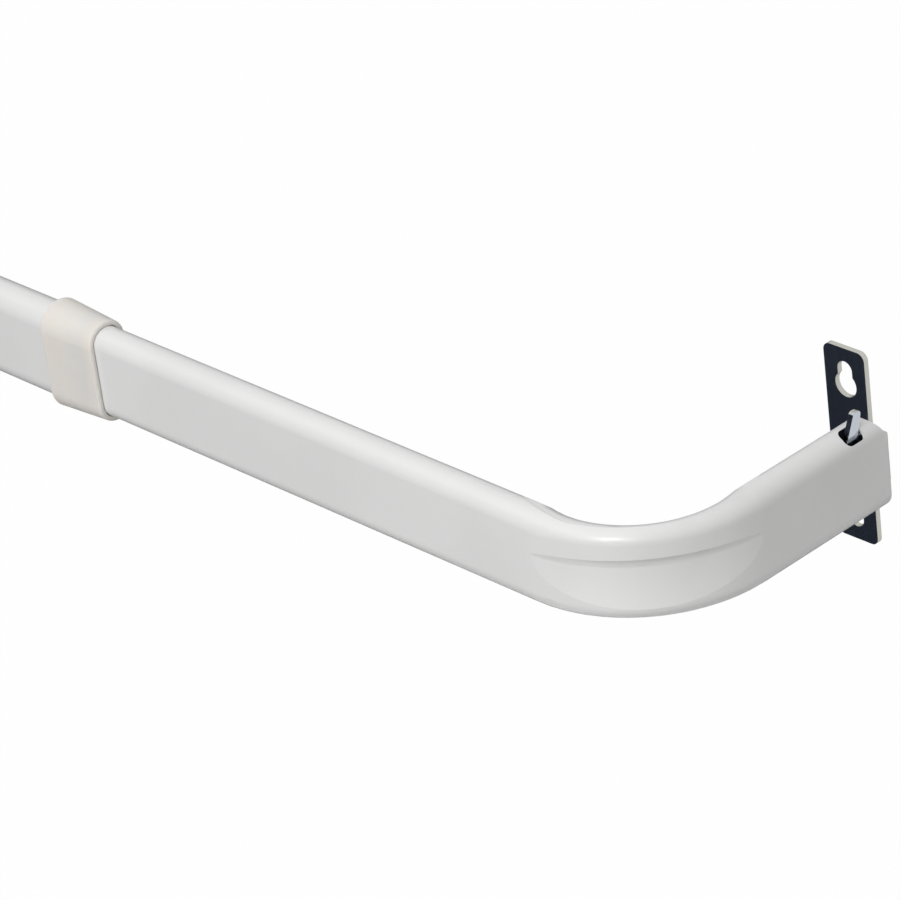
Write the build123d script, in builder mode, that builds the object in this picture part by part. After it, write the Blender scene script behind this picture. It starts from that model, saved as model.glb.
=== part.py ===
"""Telescoping lock-seam curtain rod with curved returns, a snag collar and two hook-on wall brackets.

Millimetres. The wall is the plane Y = 0, the room is towards -Y, and Z is up.
The origin is the middle of the right bracket's wall face.
"""

import os
from math import cos, radians, sin, sqrt, tan

from build123d import *

# Inner rod, the right half
rod_height = 24.2
rod_depth = 8.4
rod_corner_radius = 4.1
rod_wall = 0.6
inner_rod_length = 640.0
projection = 80.8
bend_radius = 32.8

# Dish that the bending die presses into the outer face of each bend
dish_depth = 1.0
dish_lift = 0.1
dish_top = 5.4
dish_middle = 2.0
dish_bottom = -10.5
dish_shoulder = 1.4
dish_run_out = 0.3
dish_ring_width = 8.0
bend_angle = 90.0
room_angle = -90.0

# Squeeze that the die's grooved roller gives each bend from behind
press_depth = 2.5
press_drop = 0.5
press_land = 1.0
press_width = 6.0

# Outer rod, the left half, which slides over the inner one
slide_clearance = 0.2
outer_rod_length = 660.0
exposed_inner_length = 188.5

# Lock seam folded along the back of both rods
seam_width = 3.2
seam_thickness = 0.9
seam_line_width = 0.5
seam_line_depth = 0.3
valley_width = 4.6
valley_depth = 1.3

# Hook slot, punched through the outer shoulder of each return
hook_slot_length = 5.9
hook_slot_width = 4.6
hook_slot_front_corner = 1.9
hook_slot_back_corner = 1.0
hook_slot_from_wall = 12.35
hook_slot_tilt = 34.6

# Relief at the top of each return's mouth, so that the rod can tip over the hook
relief_height = 8.2
relief_reach = 3.9
cut_margin = 1.0

# Collar that covers the outer rod's raw mouth
collar_length = 18.0
collar_wall = 1.5
collar_rim = 1.2
collar_lip = 3.0
collar_edge_radius = 0.7
collar_clearance = 0.15

# Wall bracket, one stamping: plate, ear, flange and hook finger
plate_width = 12.2
plate_height = 50.0
plate_thickness = 1.4
plate_corner_radius = 2.0
plate_edge_to_rod = 6.46
keyhole_radius = 3.15
keyhole_slot_width = 4.3
keyhole_height = 15.6
keyhole_top = 21.6
ear_height = 12.0
flange_reach = 16.5
flange_offset = 1.79
flange_bend_radius = 1.0
flange_nose_radius = 1.5
finger_width = 3.5
finger_gap = 0.7
finger_front_lean = 24.0
finger_back_lean = 15.0
finger_rise = 4.0
finger_tip_radius = 0.9
seat_gap = 0.2
end_gap = 1.1
face_tolerance = 0.01

# Worked out from the driving dimensions
growth = slide_clearance + rod_wall
outer_height = rod_height + 2 * growth
outer_depth = rod_depth + 2 * growth
outer_corner_radius = rod_corner_radius + growth
return_x = plate_width / 2 + plate_edge_to_rod - rod_depth / 2
centre_y = -projection + rod_depth / 2
right_face_x = return_x + rod_depth / 2
mouth_x = right_face_x - exposed_inner_length
tip_x = right_face_x - inner_rod_length
left_face_x = mouth_x - outer_rod_length
left_return_x = left_face_x + outer_depth / 2
rod_end_y = -plate_thickness - end_gap


def rod_outline(depth, height, radius, valley):
    """Outline of a rod, cut across: local X is depth towards the wall, local Y is height."""
    RectangleRounded(depth, height, radius)
    if valley:
        with Locations((depth / 2 - valley_depth / 2, 0)):
            Rectangle(valley_depth, valley_width, mode=Mode.SUBTRACT)


def lock_seam(back):
    """The seam's folded layers, which stand inwards from the back wall."""
    with Locations((back - rod_wall - seam_thickness / 2, 0)):
        Rectangle(seam_thickness, seam_width, mode=Mode.SUBTRACT)


def seam_line(back):
    """The visible line of the lock seam, at one edge of the fold."""
    with Locations((back - seam_line_depth / 2, seam_width / 2)):
        Rectangle(seam_line_depth, seam_line_width, mode=Mode.SUBTRACT)


def upright(axis_x, axis_y, angle):
    """Plane through an upright axis: local X points away from the axis at that angle, local Y is up."""
    return Plane((axis_x, axis_y, 0), x_dir=(cos(angle), sin(angle), 0), z_dir=(sin(angle), -cos(angle), 0))


def bend_dish(rod_x, side, depth, inset):
    """Ring that bites deepest half way round a bend's outer face and fades out at both ends of the bend."""
    half_turn = radians(bend_angle / 2)
    shift = dish_depth / (1 - cos(half_turn))
    ring = bend_radius + depth / 2 + shift * cos(half_turn) + dish_lift - inset
    axis_x = rod_x - side * (bend_radius + shift * sin(half_turn))
    axis_y = centre_y + bend_radius + shift * cos(half_turn)
    first = radians(room_angle + (side - 1) * bend_angle / 2)
    upper_rim = ring + dish_depth + dish_shoulder
    lower_rim = ring + dish_depth + dish_run_out
    outside = upper_rim + dish_ring_width
    with BuildPart() as dish:
        with BuildSketch(upright(axis_x, axis_y, first)):
            with BuildLine():
                TangentArc((ring, dish_middle), (upper_rim, dish_top), tangent=(0, 1))
                TangentArc((ring, dish_middle), (lower_rim, dish_bottom), tangent=(0, -1))
                Polyline(
                    (lower_rim, dish_bottom),
                    (outside, dish_bottom),
                    (outside, dish_top),
                    (upper_rim, dish_top),
                )
            make_face()
        revolve(axis=Axis((axis_x, axis_y, 0), (0, 0, 1)), revolution_arc=bend_angle)
    return dish.part


def bend_press(rod_x, side, depth, height, radius, inset):
    """Grooved roller that squeezes a bend from behind, deepest half way round."""
    half_turn = radians(bend_angle / 2)
    shift = press_depth / (1 - cos(half_turn))
    reach = bend_radius - depth / 2 - shift * cos(half_turn) + inset
    axis_x = rod_x - side * (bend_radius - shift * sin(half_turn))
    axis_y = centre_y + bend_radius - shift * cos(half_turn)
    groove = radius - inset
    level = height / 2 - press_drop - radius
    crest = level + groove
    land = reach + groove + press_land + inset
    hub = reach - press_width
    over = height / 2 + cut_margin
    with BuildPart() as press:
        with BuildSketch(upright(axis_x, axis_y, 0)):
            with BuildLine():
                TangentArc((reach, level), (reach + groove, crest), tangent=(0, 1))
                Polyline(
                    (reach + groove, crest),
                    (land, crest),
                    (land, over),
                    (hub, over),
                    (hub, 0),
                    (reach, 0),
                    (reach, level),
                )
            make_face()
            mirror(about=Plane.XZ)
        revolve(axis=Axis((axis_x, axis_y, 0), (0, 0, 1)))
    return press.part


def hook_slot(rod_x, side, depth, height, radius):
    """Punch for the hook slot, square to the return's outer shoulder."""
    tilt = radians(hook_slot_tilt)
    shoulder_x = rod_x + side * (depth / 2 - radius)
    shoulder = Plane(
        (shoulder_x, -hook_slot_from_wall, height / 2 - radius),
        x_dir=(0, 1, 0),
        z_dir=(side * sin(tilt), 0, cos(tilt)),
    )
    with BuildPart() as punch:
        with BuildSketch(shoulder) as outline:
            Rectangle(hook_slot_length, hook_slot_width)
            fillet(outline.vertices().group_by(Axis.X)[0], radius=hook_slot_front_corner)
            fillet(outline.vertices().group_by(Axis.X)[-1], radius=hook_slot_back_corner)
        extrude(amount=radius + cut_margin)
    return punch.part


def mouth_relief(rod_x, depth, height):
    """What is trimmed off the top of a return's mouth: an arc that leaves the upright end tangentially."""
    top = height / 2
    low = top - relief_height
    with BuildPart() as relief:
        with BuildSketch(Plane((rod_x, 0, 0), x_dir=(0, 1, 0), z_dir=(1, 0, 0))):
            with BuildLine():
                TangentArc((rod_end_y, low), (rod_end_y - relief_reach, top), tangent=(0, 1))
                Polyline(
                    (rod_end_y - relief_reach, top),
                    (rod_end_y - relief_reach, top + cut_margin),
                    (rod_end_y + cut_margin, top + cut_margin),
                    (rod_end_y + cut_margin, low),
                    (rod_end_y, low),
                )
            make_face()
        extrude(amount=depth, both=True)
    return relief.part


def bent_rod(start_x, rod_x, side, depth, height, radius, valley):
    """One lock-seam tube: a straight run from its free end, a dished bend and a return to the wall."""
    back = depth / 2 - (valley_depth if valley else 0)
    with BuildLine() as path:
        FilletPolyline((start_x, centre_y), (rod_x, centre_y), (rod_x, rod_end_y), radius=bend_radius)
    across = Plane((start_x, centre_y, 0), x_dir=(0, 1, 0), z_dir=(side, 0, 0))
    with BuildPart() as hollow:
        with BuildSketch(across):
            rod_outline(depth, height, radius, valley)
            offset(amount=-rod_wall, mode=Mode.REPLACE)
            lock_seam(back)
        sweep(path=path.line)
        add(bend_dish(rod_x, side, depth, rod_wall), mode=Mode.SUBTRACT)
        add(bend_press(rod_x, side, depth, height, radius, rod_wall), mode=Mode.SUBTRACT)
    with BuildPart() as rod:
        with BuildSketch(across):
            rod_outline(depth, height, radius, valley)
            seam_line(back)
        sweep(path=path.line)
        add(bend_dish(rod_x, side, depth, 0), mode=Mode.SUBTRACT)
        add(bend_press(rod_x, side, depth, height, radius, 0), mode=Mode.SUBTRACT)
        add(hollow.part, mode=Mode.SUBTRACT)
        add(hook_slot(rod_x, side, depth, height, radius), mode=Mode.SUBTRACT)
        add(mouth_relief(rod_x, depth, height), mode=Mode.SUBTRACT)
    return rod.part


os.makedirs("parts", exist_ok=True)

# Inner rod, the right half, with a valley along its back that clears the outer rod's seam
inner_rod = bent_rod(tip_x, return_x, 1, rod_depth, rod_height, rod_corner_radius, True)
inner_rod.label = "inner_rod"
export_step(inner_rod, "parts/inner_rod.step")

# Outer rod, the left half
outer_rod = bent_rod(mouth_x, left_return_x, -1, outer_depth, outer_height, outer_corner_radius, False)
outer_rod.label = "outer_rod"
export_step(outer_rod, "parts/outer_rod.step")


def sleeve_outline(depth, height, radius, gap):
    """Outline that stands off a rod's own outline by a gap."""
    RectangleRounded(depth + 2 * gap, height + 2 * gap, radius + gap)


# Collar: a moulded sleeve that tapers from the outer rod down to a lip on the inner one
with BuildPart() as collar:
    lip_end = Plane((mouth_x + collar_lip, centre_y, 0), x_dir=(0, 1, 0), z_dir=(-1, 0, 0))
    with BuildSketch(lip_end):
        sleeve_outline(rod_depth, rod_height, rod_corner_radius, slide_clearance + collar_rim)
    with BuildSketch(lip_end.offset(collar_length)):
        sleeve_outline(outer_depth, outer_height, outer_corner_radius, collar_clearance + collar_wall)
    loft(ruled=True)
    rims = collar.edges().group_by(Axis.X)
    fillet(rims[0] + rims[-1], radius=collar_edge_radius)
    with BuildSketch(lip_end.offset(collar_lip)):
        sleeve_outline(outer_depth, outer_height, outer_corner_radius, collar_clearance)
    extrude(amount=collar_length, mode=Mode.SUBTRACT)
    with BuildSketch(lip_end):
        sleeve_outline(rod_depth, rod_height, rod_corner_radius, slide_clearance)
    extrude(amount=collar_length, mode=Mode.SUBTRACT)
collar.part.label = "collar"
export_step(collar.part, "parts/collar.step")


def keyhole(end):
    """One screw keyhole in the plate's own plane: its narrow end points away from the plate's middle."""
    slot_end = keyhole_top - keyhole_slot_width / 2
    with BuildSketch() as hole:
        with Locations((0, end * keyhole_height)):
            Circle(keyhole_radius)
        with Locations((0, end * (keyhole_height + slot_end) / 2)):
            SlotCenterToCenter(slot_end - keyhole_height, keyhole_slot_width, rotation=90)
    return hole.sketch


def wall_bracket(plate_x, rod_x, side, depth, height, radius):
    """One bracket. Side is 1 where the rod's return is on the plate's right and -1 on its left."""
    flange_middle = rod_x + side * flange_offset
    ear_reach = abs(flange_middle - plate_x) + plate_thickness / 2
    face_reach = flange_offset + plate_thickness / 2 - (depth / 2 - radius)
    flange_top = height / 2 - radius + sqrt((radius - rod_wall) ** 2 - face_reach**2) - seat_gap
    finger_top = height / 2 + finger_rise
    finger_back = -(hook_slot_from_wall - hook_slot_length / 2 + finger_gap)
    finger_front = finger_back - finger_width
    front_shift = (finger_top - flange_top) * tan(radians(finger_front_lean))
    back_shift = (finger_top - flange_top) * tan(radians(finger_back_lean))
    with BuildPart() as bracket:
        with BuildSketch(Plane((plate_x, 0, 0), x_dir=(1, 0, 0), z_dir=(0, -1, 0))):
            RectangleRounded(plate_width, plate_height, plate_corner_radius)
            with Locations((side * ear_reach / 2, 0)):
                Rectangle(ear_reach, ear_height)
            for end in (1, -1):
                add(keyhole(end), mode=Mode.SUBTRACT)
        extrude(amount=plate_thickness)
        with BuildSketch(Plane((flange_middle, 0, 0), x_dir=(0, 1, 0), z_dir=(1, 0, 0))) as flange:
            with BuildLine():
                Polyline(
                    (0, -ear_height / 2),
                    (-flange_reach, -ear_height / 2),
                    (-flange_reach, flange_top - finger_width),
                    (finger_front, flange_top),
                    (finger_front + front_shift, finger_top),
                    (finger_back + back_shift, finger_top),
                    (finger_back, flange_top),
                    (-plate_thickness, ear_height / 2),
                    (0, ear_height / 2),
                    close=True,
                )
            make_face()
            fillet(flange.vertices().group_by(Axis.Y)[-1], radius=finger_tip_radius)
            fillet(flange.vertices().group_by(Axis.X)[0], radius=flange_nose_radius)
        extrude(amount=plate_thickness / 2, both=True)
        upright_edges = bracket.edges().filter_by(Axis.Z)
        wall_edges = upright_edges.filter_by_position(Axis.Y, -face_tolerance, face_tolerance)
        fillet(wall_edges.sort_by(Axis.X)[-1 if side > 0 else 0], radius=flange_bend_radius)
    return bracket.part


right_bracket = wall_bracket(0, return_x, 1, rod_depth, rod_height, rod_corner_radius)
right_bracket.label = "right_bracket"
export_step(right_bracket, "parts/right_bracket.step")

left_plate_x = left_return_x + return_x
left_bracket = wall_bracket(left_plate_x, left_return_x, -1, outer_depth, outer_height, outer_corner_radius)
left_bracket.label = "left_bracket"
export_step(left_bracket, "parts/left_bracket.step")
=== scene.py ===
"""Finishes and studio for a curtain rod: white enamel tubes, an ivory collar and zinc plated brackets."""

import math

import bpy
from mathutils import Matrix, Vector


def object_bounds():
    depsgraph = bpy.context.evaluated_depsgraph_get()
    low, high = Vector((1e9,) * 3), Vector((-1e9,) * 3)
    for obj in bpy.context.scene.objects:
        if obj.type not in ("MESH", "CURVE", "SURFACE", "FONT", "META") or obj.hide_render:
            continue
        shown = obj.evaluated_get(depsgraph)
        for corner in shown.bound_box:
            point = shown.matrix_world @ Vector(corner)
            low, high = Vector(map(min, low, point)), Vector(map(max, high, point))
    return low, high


bl_info = {
    "name": "Curtain Rod Finishes",
    "version": (1, 0, 0),
    "blender": (4, 5, 0),
    "location": "View3D > Sidebar > Curtain Rod",
    "description": "Finishes a telescoping curtain rod and sets a plain studio round it",
    "category": "Material",
}

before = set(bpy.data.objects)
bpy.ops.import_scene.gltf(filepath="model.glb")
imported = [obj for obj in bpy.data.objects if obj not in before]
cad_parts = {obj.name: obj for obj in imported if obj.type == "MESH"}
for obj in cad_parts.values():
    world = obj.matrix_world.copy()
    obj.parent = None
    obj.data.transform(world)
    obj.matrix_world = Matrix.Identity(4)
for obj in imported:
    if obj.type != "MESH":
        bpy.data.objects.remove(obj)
cad_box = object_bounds()

ROD_NODES = ("inner_rod", "outer_rod")
COLLAR_NODES = ("collar",)
BRACKET_NODES = ("right_bracket", "left_bracket")
BOX_MIDDLE = (cad_box[0] + cad_box[1]) / 2
WHITE = (1.0, 1.0, 1.0, 1.0)

# Noise in the finishes: its detail, and the middle part of its range that is stretched to the full range
NOISE_DETAIL = 2.0
CLOUD_DETAIL = 3.0
NOISE_LOW = 0.35
NOISE_HIGH = 0.65

# Brackets: streaks drawn out along the height, and how squarely edges and faces lie to the sheet
STREAK_STRETCH = (1.0, 1.0, 0.04)
SHEARED_BELOW = 0.3
ROLLED_ABOVE = 0.7

# Lamp and cards round the right bracket, each at an azimuth and an elevation, with lengths in metres
KEY_ANGLES = (math.radians(5.0), math.radians(34.0))
KEY_DISTANCE = 1.5
KEY_SIZE = 1.2
SPARK_ANGLES = (math.radians(20.0), math.radians(14.0))
SPARK_DISTANCE = 1.5
SPARK_SIZE = 0.3
DARK_ANGLES = (math.radians(-45.0), math.radians(-15.0))
DARK_DISTANCE = 0.5
DARK_SIZE = 0.8
DARK_COLOUR = (0.055, 0.065, 0.090, 1.0)
BACK_ANGLES = (math.radians(-130.0), math.radians(-29.0))
BACK_DISTANCE = 0.5
BACK_SIZE = 0.9
BACK_COLOUR = (0.02, 0.02, 0.02, 1.0)
FLOOR_ROUGHNESS = 0.9


class EnamelSettings(bpy.types.PropertyGroup):
    """Baked enamel on the two tubes, and near-black on the inner walls of their returns, which is bare
    steel and painted shade.
    """

    colour: bpy.props.FloatVectorProperty(
        name="Colour",
        description="Enamel where the coat is full",
        subtype="COLOR",
        size=4,
        min=0.0,
        max=1.0,
        default=(0.80, 0.80, 0.795, 1.0),
    )
    thin_colour: bpy.props.FloatVectorProperty(
        name="Thin coat",
        description="Enamel where the coat is a little thinner",
        subtype="COLOR",
        size=4,
        min=0.0,
        max=1.0,
        default=(0.77, 0.77, 0.765, 1.0),
    )
    cloud_size: bpy.props.FloatProperty(
        name="Cloud size",
        description="Width of the slow changes of tone in the coat",
        unit="LENGTH",
        default=0.035,
    )
    peel_size: bpy.props.FloatProperty(
        name="Orange peel size",
        description="Width of the ripples in the coat",
        unit="LENGTH",
        default=0.0014,
    )
    peel_depth: bpy.props.FloatProperty(
        name="Orange peel depth",
        description="Height of the ripples in the coat",
        unit="LENGTH",
        default=0.00003,
    )
    nib_size: bpy.props.FloatProperty(
        name="Nib size",
        description="Width of the fine specks on top of the ripples",
        unit="LENGTH",
        default=0.00035,
    )
    nib_depth: bpy.props.FloatProperty(
        name="Nib depth",
        description="Height of the fine specks on top of the ripples",
        unit="LENGTH",
        default=0.000005,
    )
    roughness_low: bpy.props.FloatProperty(
        name="Glossiest",
        description="Roughness where the coat has flowed out best",
        subtype="FACTOR",
        default=0.28,
    )
    roughness_high: bpy.props.FloatProperty(
        name="Dullest",
        description="Roughness where the coat is dry",
        subtype="FACTOR",
        default=0.36,
    )
    # Near-black, non-metallic colour on the inner walls of the returns: bare steel, and painted shade
    # inside the tube as well.
    bare_steel_painted_shade_colour: bpy.props.FloatVectorProperty(
        name="Bare steel",
        description="Steel inside the returns, where no enamel reaches",
        subtype="COLOR",
        size=4,
        min=0.0,
        max=1.0,
        default=(0.025, 0.030, 0.040, 1.0),
    )
    # Which inner walls take the bare steel and painted shade colour.
    inner_wall_depth: bpy.props.FloatProperty(
        name="Bare steel depth",
        description="Least distance of a bare inner wall from the middle line of its tube",
        unit="LENGTH",
        default=0.003,
    )
    return_length: bpy.props.FloatProperty(
        name="Return length",
        description="Depth from the wall within which the inner walls show bare steel",
        unit="LENGTH",
        default=0.045,
    )
    right_return_x: bpy.props.FloatProperty(
        name="Right return",
        description="Where the middle line of the right return lies along the rod",
        unit="LENGTH",
        default=0.00836,
    )
    left_return_x: bpy.props.FloatProperty(
        name="Left return",
        description="Where the middle line of the left return lies along the rod",
        unit="LENGTH",
        default=-0.83094,
    )


class PlasticSettings(bpy.types.PropertyGroup):
    """Moulded plastic of the collar."""

    colour: bpy.props.FloatVectorProperty(
        name="Colour",
        description="Moulded ivory plastic",
        subtype="COLOR",
        size=4,
        min=0.0,
        max=1.0,
        default=(0.81, 0.775, 0.725, 1.0),
    )
    flow_colour: bpy.props.FloatVectorProperty(
        name="Flow marks",
        description="Plastic in the faint marks where the melt flowed",
        subtype="COLOR",
        size=4,
        min=0.0,
        max=1.0,
        default=(0.79, 0.75, 0.70, 1.0),
    )
    flow_size: bpy.props.FloatProperty(
        name="Flow mark size",
        description="Width of the faint marks where the melt flowed",
        unit="LENGTH",
        default=0.012,
    )
    grain_size: bpy.props.FloatProperty(
        name="Grain size",
        description="Width of the mould's fine grain",
        unit="LENGTH",
        default=0.0006,
    )
    grain_depth: bpy.props.FloatProperty(
        name="Grain depth",
        description="Height of the mould's fine grain",
        unit="LENGTH",
        default=0.000015,
    )
    roughness_low: bpy.props.FloatProperty(
        name="Glossiest",
        description="Roughness where the mould is polished",
        subtype="FACTOR",
        default=0.40,
    )
    roughness_high: bpy.props.FloatProperty(
        name="Dullest",
        description="Roughness where the mould is worn",
        subtype="FACTOR",
        default=0.55,
    )
    glow_share: bpy.props.FloatProperty(
        name="Milkiness",
        description="Share of the light that wanders through the plastic before it leaves",
        subtype="FACTOR",
        default=0.6,
    )
    glow_depth: bpy.props.FloatProperty(
        name="Milkiness depth",
        description="How far light wanders through the plastic",
        unit="LENGTH",
        default=0.002,
    )
    glow_spread: bpy.props.FloatVectorProperty(
        name="Milkiness by colour",
        description="How far red, green and blue light wander, as shares of the depth",
        size=3,
        default=(1.0, 0.9, 0.6),
    )


class ZincSettings(bpy.types.PropertyGroup):
    """Bright zinc plate on the stamped brackets."""

    colour: bpy.props.FloatVectorProperty(
        name="Colour",
        description="Bright zinc plate on the rolled faces",
        subtype="COLOR",
        size=4,
        min=0.0,
        max=1.0,
        default=(0.50, 0.54, 0.59, 1.0),
    )
    cut_colour: bpy.props.FloatVectorProperty(
        name="Cut edges",
        description="Zinc plate on the sheared edges and in the punched holes",
        subtype="COLOR",
        size=4,
        min=0.0,
        max=1.0,
        default=(0.545, 0.543, 0.503, 1.0),
    )
    streak_width: bpy.props.FloatProperty(
        name="Rolling streaks",
        description="Width of the streaks that the rolling mill leaves in the steel",
        unit="LENGTH",
        default=0.0005,
    )
    streak_depth: bpy.props.FloatProperty(
        name="Streak depth",
        description="Depth of the rolling streaks",
        unit="LENGTH",
        default=0.000004,
    )
    roughness_low: bpy.props.FloatProperty(
        name="Glossiest",
        description="Roughness of the plated faces between the streaks",
        subtype="FACTOR",
        default=0.112,
    )
    roughness_high: bpy.props.FloatProperty(
        name="Dullest",
        description="Roughness of the plated faces in the streaks",
        subtype="FACTOR",
        default=0.182,
    )
    edge_roughness: bpy.props.FloatProperty(
        name="Edges",
        description="Roughness of the sheared edges",
        subtype="FACTOR",
        default=0.5,
    )
    plate_depth: bpy.props.FloatProperty(
        name="Plate depth",
        description="Depth from the wall that holds the flat plate, a little over its thickness",
        unit="LENGTH",
        default=0.00154,
    )


class StageSettings(bpy.types.PropertyGroup):
    """Floor, lamp, cards and camera."""

    floor_colour: bpy.props.FloatVectorProperty(
        name="Floor",
        description="Tone of the floor for the light that falls on it",
        subtype="COLOR",
        size=4,
        min=0.0,
        max=1.0,
        default=(0.36, 0.36, 0.36, 1.0),
    )
    floor_glow: bpy.props.FloatProperty(
        name="Floor glow",
        description="How far the floor reads as plain white to the eye",
        subtype="FACTOR",
        default=0.99,
    )
    floor_drop: bpy.props.FloatProperty(
        name="Floor drop",
        description="How far the floor lies below the rod",
        unit="LENGTH",
        default=0.45,
    )
    floor_size: bpy.props.FloatProperty(
        name="Floor size",
        description="Side of the floor",
        unit="LENGTH",
        default=24.0,
    )
    sky_strength: bpy.props.FloatProperty(
        name="Room light",
        description="Strength of the even light from all round",
        default=0.585,
    )
    key_power: bpy.props.FloatProperty(
        name="Key lamp",
        description="Power of the large soft lamp in front",
        unit="POWER",
        default=13.0,
    )
    spark_strength: bpy.props.FloatProperty(
        name="Spark card",
        description="Brightness of the small card that glossy coats mirror as a highlight",
        default=28.0,
    )
    camera_azimuth: bpy.props.FloatProperty(
        name="Camera azimuth",
        description="Turn of the camera to the right of straight on",
        subtype="ANGLE",
        default=math.radians(49.605),
    )
    camera_elevation: bpy.props.FloatProperty(
        name="Camera elevation",
        description="Height of the camera above the horizon",
        subtype="ANGLE",
        default=math.radians(29.287),
    )
    camera_roll: bpy.props.FloatProperty(
        name="Camera roll",
        description="Tilt of the camera about its own line of sight",
        subtype="ANGLE",
        default=math.radians(-7.545),
    )
    camera_distance: bpy.props.FloatProperty(
        name="Camera distance",
        description="Distance from the camera to the point it looks at",
        unit="LENGTH",
        default=1.0301,
    )
    camera_target: bpy.props.FloatVectorProperty(
        name="Camera target",
        description="Point that the camera looks at",
        subtype="TRANSLATION",
        size=3,
        default=(-0.0753, -0.05605, 0.0),
    )
    camera_lens: bpy.props.FloatProperty(
        name="Camera lens",
        description="Focal length in millimetres",
        default=178.0,
    )


class CurtainRodSettings(bpy.types.PropertyGroup):
    """All the finishes and the stage."""

    enamel: bpy.props.PointerProperty(type=EnamelSettings)
    plastic: bpy.props.PointerProperty(type=PlasticSettings)
    zinc: bpy.props.PointerProperty(type=ZincSettings)
    stage: bpy.props.PointerProperty(type=StageSettings)


class NodeSheet:
    """The nodes of a material or of the world, with short calls that add a node and wire it up."""

    def __init__(self, owner):
        owner.use_nodes = True
        self.owner = owner
        self.nodes = owner.node_tree.nodes
        self.links = owner.node_tree.links

    def add(self, kind, inputs=None, **options):
        """Adds a node, sets its own options, then wires or fills its inputs."""
        node = self.nodes.new(kind)
        for name, value in options.items():
            setattr(node, name, value)
        for key, value in (inputs or {}).items():
            self.fill(node.inputs[key], value)
        return node

    def fill(self, socket, value):
        """Wires an output to a socket, or sets the socket to a plain value."""
        if isinstance(value, bpy.types.NodeSocket):
            self.links.new(value, socket)
        else:
            socket.default_value = value

    def shade(self, **inputs):
        """Feeds the principled shader, with underscores standing for spaces."""
        shader = self.nodes["Principled BSDF"]
        for name, value in inputs.items():
            self.fill(shader.inputs[name.replace("_", " ")], value)

    def place(self):
        """Where a point lies on the piece itself, in metres."""
        return self.add("ShaderNodeTexCoord").outputs["Object"]

    def facing(self):
        """Which way the surface faces, by the piece's own axes."""
        return self.add("ShaderNodeTexCoord").outputs["Normal"]

    def axes(self, vector):
        """The X, Y and Z of a vector."""
        return self.add("ShaderNodeSeparateXYZ", {"Vector": vector}).outputs

    def noise(self, width, detail=NOISE_DETAIL, place=None):
        """Soft noise whose lumps are about as wide as given, in metres."""
        inputs = {"Vector": place or self.place(), "Scale": 1.0 / width, "Detail": detail}
        return self.add("ShaderNodeTexNoise", inputs).outputs["Fac"]

    def spread(self, value, low, high, start=NOISE_LOW, end=NOISE_HIGH):
        """Stretches a value over a range of plain numbers, with soft ends."""
        inputs = {"Value": value, "From Min": start, "From Max": end, "To Min": low, "To Max": high}
        return self.add("ShaderNodeMapRange", inputs, interpolation_type="SMOOTHSTEP").outputs["Result"]

    def tint(self, factor, first, second):
        """Blends two colours."""
        blend = self.add("ShaderNodeMix", {"Factor": factor}, data_type="RGBA")
        colour_inputs = [socket for socket in blend.inputs if socket.type == "RGBA"]
        for socket, colour in zip(colour_inputs, (first, second)):
            self.fill(socket, colour)
        return next(socket for socket in blend.outputs if socket.type == "RGBA")

    def calculate(self, operation, first, second=0.0):
        """One step of arithmetic on plain numbers."""
        return self.add("ShaderNodeMath", {0: first, 1: second}, operation=operation).outputs["Value"]

    def seen(self):
        """1 where the eye looks, also by way of a mirror or through glass, and 0 for all other light."""
        paths = self.add("ShaderNodeLightPath").outputs
        mirrored = self.calculate("MAXIMUM", paths["Is Camera Ray"], paths["Is Glossy Ray"])
        return self.calculate("MAXIMUM", mirrored, paths["Is Transmission Ray"])

    def bump(self, height, depth, under=None):
        """Raises a surface by a height value, on top of another bump where one is given."""
        inputs = {"Height": height, "Distance": depth, "Strength": 1.0}
        if under is not None:
            inputs["Normal"] = under
        return self.add("ShaderNodeBump", inputs).outputs["Normal"]


def material_sheet(name):
    """The nodes of a new material."""
    return NodeSheet(bpy.data.materials.new(name))


def settings():
    """The add-on's own settings in this scene."""
    return bpy.context.scene.curtain_rod


def finish_nodes(names, material):
    """Gives CAD pieces their finish."""
    for name in names:
        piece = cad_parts[name]
        piece.data.materials.clear()
        piece.data.materials.append(material)


def enamel_material(look):
    """Baked white enamel: slow clouds of tone, uneven gloss, a fine orange peel, and bare steel with
    painted shade inside the returns.
    """
    sheet = material_sheet("white_enamel")
    clouds = sheet.noise(look.cloud_size, detail=CLOUD_DETAIL)
    peel = sheet.noise(look.peel_size)
    nibs = sheet.noise(look.nib_size)
    ripples = sheet.bump(peel, look.peel_depth)
    coat = sheet.tint(sheet.spread(clouds, 0.0, 1.0), look.colour, look.thin_colour)
    sheet.shade(
        # Inner walls of the returns take the near-black colour: bare steel and painted shade.
        Base_Color=sheet.tint(bare_and_painted_shade_inside(sheet, look), coat, look.bare_steel_painted_shade_colour),
        Roughness=sheet.spread(clouds, look.roughness_low, look.roughness_high),
        Normal=sheet.bump(nibs, look.nib_depth, under=ripples),
    )
    return sheet.owner


def bare_and_painted_shade_inside(sheet, look):
    """1 on the inner walls of a return, which face its middle line, and 0 on all the rest of a tube: where
    the bare steel and painted shade go.
    """
    spot = sheet.axes(sheet.place())
    on_right = sheet.calculate("GREATER_THAN", spot["X"], BOX_MIDDLE.x)
    middle_x = sheet.spread(on_right, look.left_return_x, look.right_return_x, start=0.0, end=1.0)
    across = sheet.calculate("SUBTRACT", spot["X"], middle_x)
    outwards = sheet.add("ShaderNodeCombineXYZ", {"X": across, "Z": spot["Z"]}).outputs["Vector"]
    pair = {0: sheet.facing(), 1: outwards}
    lean = sheet.add("ShaderNodeVectorMath", pair, operation="DOT_PRODUCT").outputs["Value"]
    faces_in = sheet.calculate("LESS_THAN", lean, -look.inner_wall_depth)
    near_wall = sheet.calculate("GREATER_THAN", spot["Y"], -look.return_length)
    return sheet.calculate("MULTIPLY", faces_in, near_wall)


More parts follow.
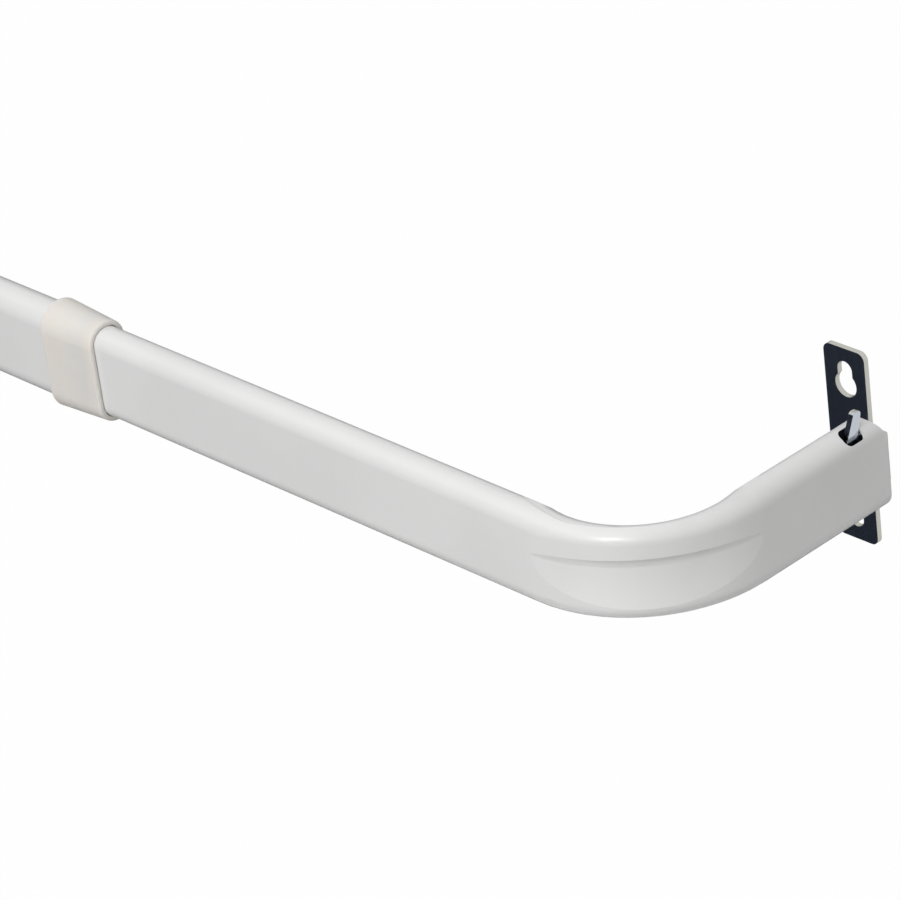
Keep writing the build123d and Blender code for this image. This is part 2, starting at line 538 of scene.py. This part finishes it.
def plastic_material(look):
    """Moulded ivory plastic: faint flow marks and the mould's fine grain."""
    sheet = material_sheet("ivory_plastic")
    flow = sheet.noise(look.flow_size)
    grain = sheet.noise(look.grain_size)
    sheet.shade(
        Base_Color=sheet.tint(sheet.spread(flow, 0.0, 1.0), look.colour, look.flow_colour),
        Roughness=sheet.spread(flow, look.roughness_low, look.roughness_high),
        Subsurface_Weight=look.glow_share,
        Subsurface_Radius=look.glow_spread,
        Subsurface_Scale=look.glow_depth,
        Normal=sheet.bump(grain, look.grain_depth),
    )
    return sheet.owner


def zinc_material(look):
    """Bright zinc plate: glossy rolled faces with streaks, and duller sheared edges."""
    sheet = material_sheet("zinc_plate")
    pair = {0: sheet.place(), 1: STREAK_STRETCH}
    drawn_out = sheet.add("ShaderNodeVectorMath", pair, operation="MULTIPLY").outputs["Vector"]
    streaks = sheet.noise(look.streak_width, place=drawn_out)
    edge = sheared_edge(sheet, look.plate_depth)
    gloss = sheet.spread(streaks, look.roughness_low, look.roughness_high)
    sheet.shade(
        Base_Color=sheet.tint(edge, look.colour, look.cut_colour),
        Metallic=1.0,
        Roughness=sheet.spread(edge, gloss, look.edge_roughness, start=0.0, end=1.0),
        Normal=sheet.bump(streaks, look.streak_depth),
    )
    return sheet.owner


def sheared_edge(sheet, plate_depth):
    """1 on the sheared edges of the stamping and 0 on its rolled faces and on the front of its finger."""
    facing = sheet.axes(sheet.facing())
    spot = sheet.axes(sheet.place())
    past_plate = sheet.calculate("LESS_THAN", spot["Y"], -plate_depth)
    across_plate = sheet.calculate("ABSOLUTE", facing["Y"])
    sideways = sheet.calculate("ABSOLUTE", facing["X"])
    forwards = sheet.calculate("MULTIPLY", facing["Y"], -1.0)
    across_flange = sheet.calculate("MAXIMUM", sideways, forwards)
    choice = {"Factor": past_plate, "A": across_plate, "B": across_flange}
    square = sheet.add("ShaderNodeMix", choice, data_type="FLOAT").outputs["Result"]
    return sheet.spread(square, 1.0, 0.0, start=SHEARED_BELOW, end=ROLLED_ABOVE)


def flat_panel(name, side, material):
    """A square sheet, facing up, that belongs to the stage."""
    half = side / 2
    corners = [(-half, -half, 0), (half, -half, 0), (half, half, 0), (-half, half, 0)]
    mesh = bpy.data.meshes.new(name)
    mesh.from_pydata(corners, [], [(0, 1, 2, 3)])
    mesh.materials.append(material)
    panel = bpy.data.objects.new(name, mesh)
    bpy.context.scene.collection.objects.link(panel)
    return panel


def direction(azimuth, elevation):
    """Unit vector away from the object: azimuth 0 is straight in front and turns to the right."""
    level = math.cos(elevation)
    return Vector((math.sin(azimuth) * level, -math.cos(azimuth) * level, math.sin(elevation)))


def hang(thing, angles, distance):
    """Puts a lamp or a card round the right bracket, which is at the origin, and turns it towards it."""
    thing.location = distance * direction(*angles)
    thing.rotation_euler = (-thing.location).to_track_quat("-Z", "Y").to_euler()


def floor_material(colour, glow_share):
    """Grey floor that reads white to the eye, with a trace of the object's shadow."""
    sheet = material_sheet("floor_paper")
    share = sheet.calculate("MULTIPLY", sheet.seen(), glow_share)
    glow = sheet.add("ShaderNodeEmission", {"Color": WHITE, "Strength": 1.0}).outputs["Emission"]
    paper = sheet.nodes["Principled BSDF"].outputs["BSDF"]
    blend = sheet.add("ShaderNodeMixShader", {0: share, 1: paper, 2: glow}).outputs["Shader"]
    sheet.shade(Base_Color=colour, Roughness=FLOOR_ROUGHNESS)
    sheet.fill(sheet.nodes["Material Output"].inputs["Surface"], blend)
    return sheet.owner


def card_material(name, colour):
    """Matt dark card that metal and glossy coats mirror."""
    sheet = material_sheet(name)
    sheet.shade(Base_Color=colour, Roughness=1.0, Specular_IOR_Level=0.0)
    return sheet.owner


def spark_material(strength):
    """Card that shines, for a highlight."""
    sheet = material_sheet("spark_card")
    sheet.shade(Base_Color=WHITE, Emission_Color=WHITE, Emission_Strength=strength)
    return sheet.owner


def mirror_card(name, side, material):
    """A card that only shows in what mirrors it."""
    card = flat_panel(name, side, material)
    card.visible_camera = False
    card.visible_diffuse = False
    card.visible_shadow = False
    return card


def soft_lamp(name, side, power):
    """A large soft square lamp that leaves no highlight of its own."""
    light = bpy.data.lights.new(name, "AREA")
    light.size = side
    light.energy = power
    lamp = bpy.data.objects.new(name, light)
    lamp.visible_glossy = False
    bpy.context.scene.collection.objects.link(lamp)
    return lamp


def add_room_light(strength):
    """Even light from all round, white where the eye meets it."""
    world = bpy.data.worlds.new("room_light")
    sheet = NodeSheet(world)
    glow = sheet.nodes["Background"]
    sheet.fill(glow.inputs["Color"], WHITE)
    sheet.fill(glow.inputs["Strength"], sheet.spread(sheet.seen(), strength, 1.0, start=0.0, end=1.0))
    bpy.context.scene.world = world


def add_camera(stage):
    """Camera at the photograph's viewing angle."""
    back = direction(stage.camera_azimuth, stage.camera_elevation)
    level_right = Vector((math.cos(stage.camera_azimuth), math.sin(stage.camera_azimuth), 0.0))
    level_up = back.cross(level_right)
    cosine = math.cos(stage.camera_roll)
    sine = math.sin(stage.camera_roll)
    right = cosine * level_right + sine * level_up
    up = cosine * level_up - sine * level_right
    lens = bpy.data.cameras.new("camera")
    lens.lens = stage.camera_lens
    camera = bpy.data.objects.new("camera", lens)
    bpy.context.scene.collection.objects.link(camera)
    turn = Matrix((right, up, back)).transposed().to_4x4()
    place = Vector(stage.camera_target) + stage.camera_distance * back
    camera.matrix_world = Matrix.Translation(place) @ turn
    bpy.context.scene.camera = camera


class CURTAINROD_OT_enamel_rods(bpy.types.Operator):
    """Coat both tubes with white enamel"""

    bl_idname = "curtain_rod.enamel_rods"
    bl_label = "Enamel the rods"

    def execute(self, context):
        finish_nodes(ROD_NODES, enamel_material(settings().enamel))
        return {"FINISHED"}


class CURTAINROD_OT_mould_collar(bpy.types.Operator):
    """Mould the collar in ivory plastic"""

    bl_idname = "curtain_rod.mould_collar"
    bl_label = "Mould the collar"

    def execute(self, context):
        finish_nodes(COLLAR_NODES, plastic_material(settings().plastic))
        return {"FINISHED"}


class CURTAINROD_OT_plate_brackets(bpy.types.Operator):
    """Plate both wall brackets with bright zinc"""

    bl_idname = "curtain_rod.plate_brackets"
    bl_label = "Plate the brackets"

    def execute(self, context):
        finish_nodes(BRACKET_NODES, zinc_material(settings().zinc))
        return {"FINISHED"}


class CURTAINROD_OT_set_stage(bpy.types.Operator):
    """Lay the floor, hang the lamp and the cards and set the camera"""

    bl_idname = "curtain_rod.set_stage"
    bl_label = "Set the stage"

    def execute(self, context):
        stage = settings().stage
        floor = flat_panel("floor", stage.floor_size, floor_material(stage.floor_colour, stage.floor_glow))
        floor.location = (BOX_MIDDLE.x, BOX_MIDDLE.y, cad_box[0].z - stage.floor_drop)
        hang(soft_lamp("key_lamp", KEY_SIZE, stage.key_power), KEY_ANGLES, KEY_DISTANCE)
        spark = mirror_card("spark_card", SPARK_SIZE, spark_material(stage.spark_strength))
        hang(spark, SPARK_ANGLES, SPARK_DISTANCE)
        dark = mirror_card("dark_card", DARK_SIZE, card_material("dark_card", DARK_COLOUR))
        hang(dark, DARK_ANGLES, DARK_DISTANCE)
        back = mirror_card("back_card", BACK_SIZE, card_material("back_card", BACK_COLOUR))
        hang(back, BACK_ANGLES, BACK_DISTANCE)
        add_room_light(stage.sky_strength)
        add_camera(stage)
        context.scene.view_settings.view_transform = "Standard"
        return {"FINISHED"}


class CURTAINROD_PT_sidebar(bpy.types.Panel):
    """The steps, and the values that they use"""

    bl_idname = "CURTAINROD_PT_sidebar"
    bl_label = "Curtain Rod"
    bl_space_type = "VIEW_3D"
    bl_region_type = "UI"
    bl_category = "Curtain Rod"

    def draw(self, context):
        layout = self.layout
        for step in STEPS:
            layout.operator(step.bl_idname)
        for group in (settings().enamel, settings().plastic, settings().zinc, settings().stage):
            box = layout.box()
            for name in group.__annotations__:
                box.prop(group, name)


STEPS = (
    CURTAINROD_OT_enamel_rods,
    CURTAINROD_OT_mould_collar,
    CURTAINROD_OT_plate_brackets,
    CURTAINROD_OT_set_stage,
)
GROUPS = (EnamelSettings, PlasticSettings, ZincSettings, StageSettings, CurtainRodSettings)
CLASSES = (*GROUPS, *STEPS, CURTAINROD_PT_sidebar)


def register():
    for cls in CLASSES:
        bpy.utils.register_class(cls)
    bpy.types.Scene.curtain_rod = bpy.props.PointerProperty(type=CurtainRodSettings)


def unregister():
    del bpy.types.Scene.curtain_rod
    for cls in reversed(CLASSES):
        bpy.utils.unregister_class(cls)


def main():
    register()
    bpy.ops.curtain_rod.enamel_rods()
    bpy.ops.curtain_rod.mould_collar()
    bpy.ops.curtain_rod.plate_brackets()
    bpy.ops.curtain_rod.set_stage()


if __name__ == "__main__":
    main()
